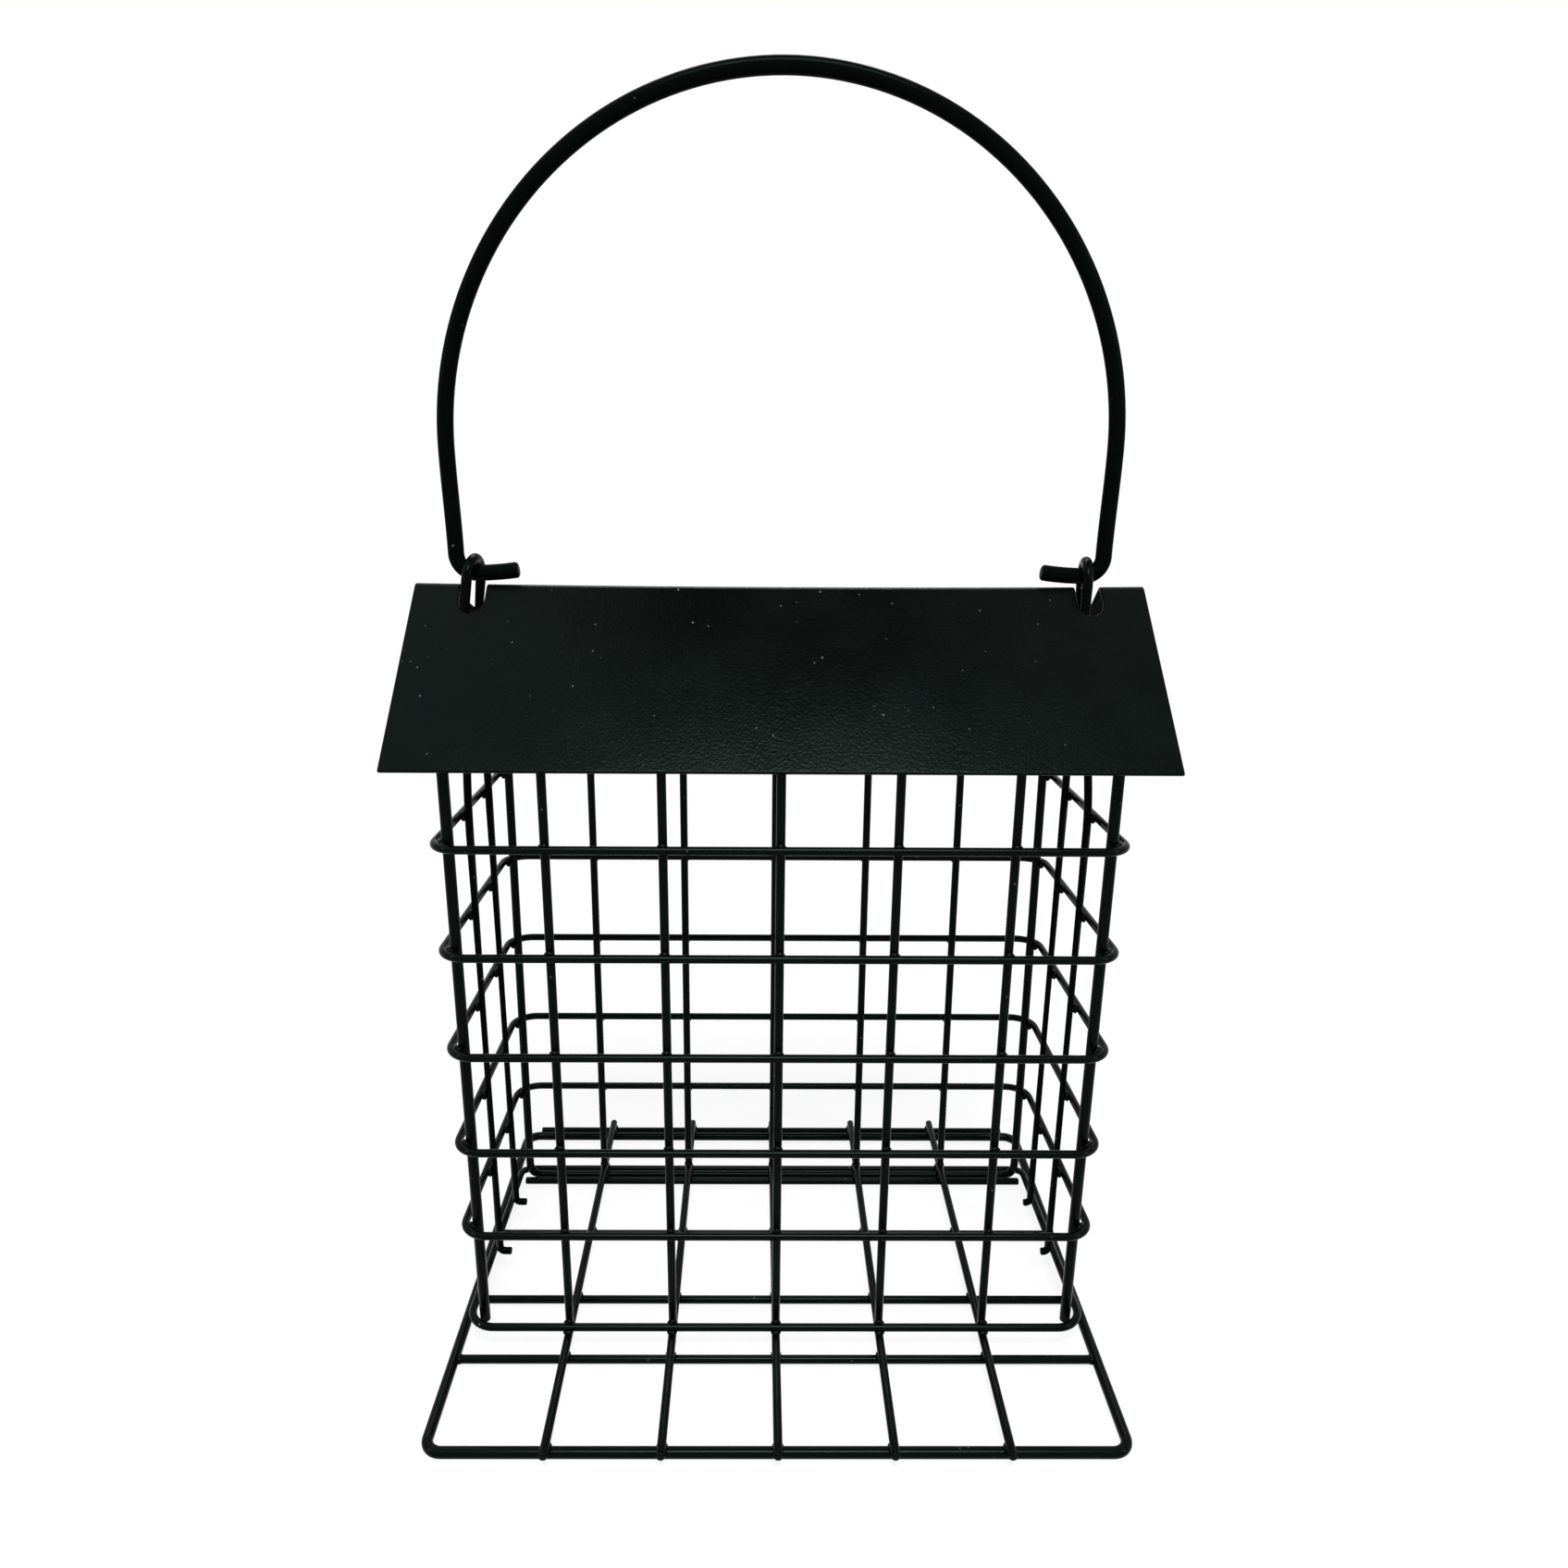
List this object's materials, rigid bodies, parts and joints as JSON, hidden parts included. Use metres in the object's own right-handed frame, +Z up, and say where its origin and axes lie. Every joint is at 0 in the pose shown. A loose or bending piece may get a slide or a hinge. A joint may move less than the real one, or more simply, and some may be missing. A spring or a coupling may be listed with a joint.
{
  "type": "suet feeder",
  "caption": "Hanging wire cage feeder for suet cakes, with a folded sheet roof, a wire grid base and perch ledge, and a swinging wire bail.",
  "frame": {"origin": "on the ground, under the middle of the base grid", "axes": "+Z up to the top of the bail, +X to the right along the roof's ridge, +Y from the front ledge to the back"},
  "size_m": [0.1324, 0.099, 0.2277],
  "materials": {
    "wire_coat": "semi-gloss black powder coat over steel wire",
    "roof_coat": "semi-gloss black powder coat over steel sheet, with a fine orange-peel texture",
    "bail_coat": "semi-gloss black powder coat over thick steel wire"
  },
  "bodies": {
    "feeder": {"base_rim": "wire_coat", "base_long_wire_1": "wire_coat", "base_long_wire_2": "wire_coat", "base_long_wire_3": "wire_coat", "base_long_wire_4": "wire_coat", "base_long_wire_5": "wire_coat", "base_cross_wire_1": "wire_coat", "base_cross_wire_2": "wire_coat", "base_cross_wire_3": "wire_coat", "base_cross_wire_4": "wire_coat", "base_cross_wire_5": "wire_coat", "bottom_hoop": "wire_coat", "cage_hoop_1": "wire_coat", "cage_hoop_2": "wire_coat", "cage_hoop_3": "wire_coat", "cage_hoop_4": "wire_coat", "cage_hoop_5": "wire_coat", "front_upright_1": "wire_coat", "front_upright_2": "wire_coat", "front_upright_3": "wire_coat", "front_upright_4": "wire_coat", "front_upright_5": "wire_coat", "back_upright_1": "wire_coat", "back_upright_2": "wire_coat", "back_upright_3": "wire_coat", "back_upright_4": "wire_coat", "back_upright_5": "wire_coat", "front_left_corner_upright": "wire_coat", "front_right_corner_upright": "wire_coat", "rear_frame_wire": "wire_coat", "left_hanger_wire": "wire_coat", "right_hanger_wire": "wire_coat", "roof_sheet": "roof_coat"},
    "bail": {"bail_handle": "bail_coat"}
  },
  "joints": [
    {"name": "bail_swing", "type": "hinge", "parent": "feeder", "child": "bail", "pos_m": [0, 0.00671, 0.14537], "axis": [1, 0, 0], "range_deg": [-117, 117]}
  ]
}
